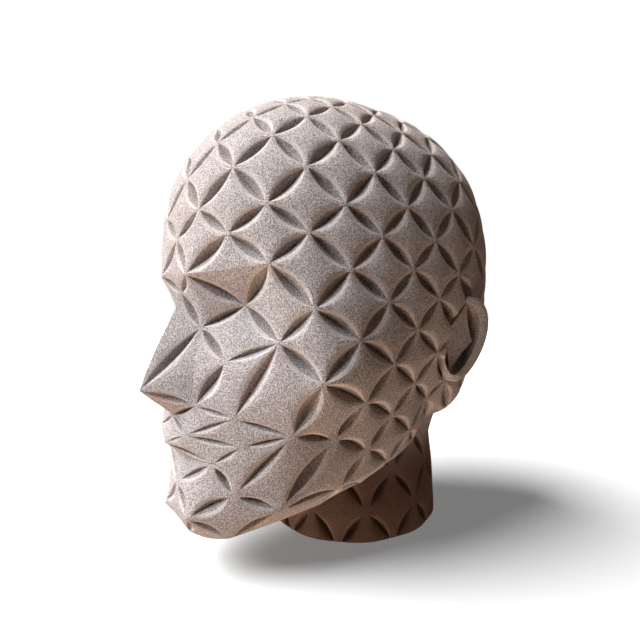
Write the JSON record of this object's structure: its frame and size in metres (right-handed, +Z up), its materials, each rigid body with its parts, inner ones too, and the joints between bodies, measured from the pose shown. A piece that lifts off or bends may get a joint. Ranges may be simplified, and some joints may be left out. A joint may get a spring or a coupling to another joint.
{
  "type": "carved head sculpture",
  "caption": "Bald life-size head on a short neck, carved in stone, with leaf-shaped grooves in a net of diamonds, standing on a flat base.",
  "frame": {"origin": "middle of the flat underside of the neck", "axes": "+Z up, the face looks towards -Y, the head's own left side is +X"},
  "size_m": [0.1648, 0.2069, 0.2413],
  "materials": {
    "sandstone": "fine-grained matt sandstone, sawn and rubbed"
  },
  "bodies": {
    "root": {"carved_head": "sandstone"}
  },
  "joints": []
}
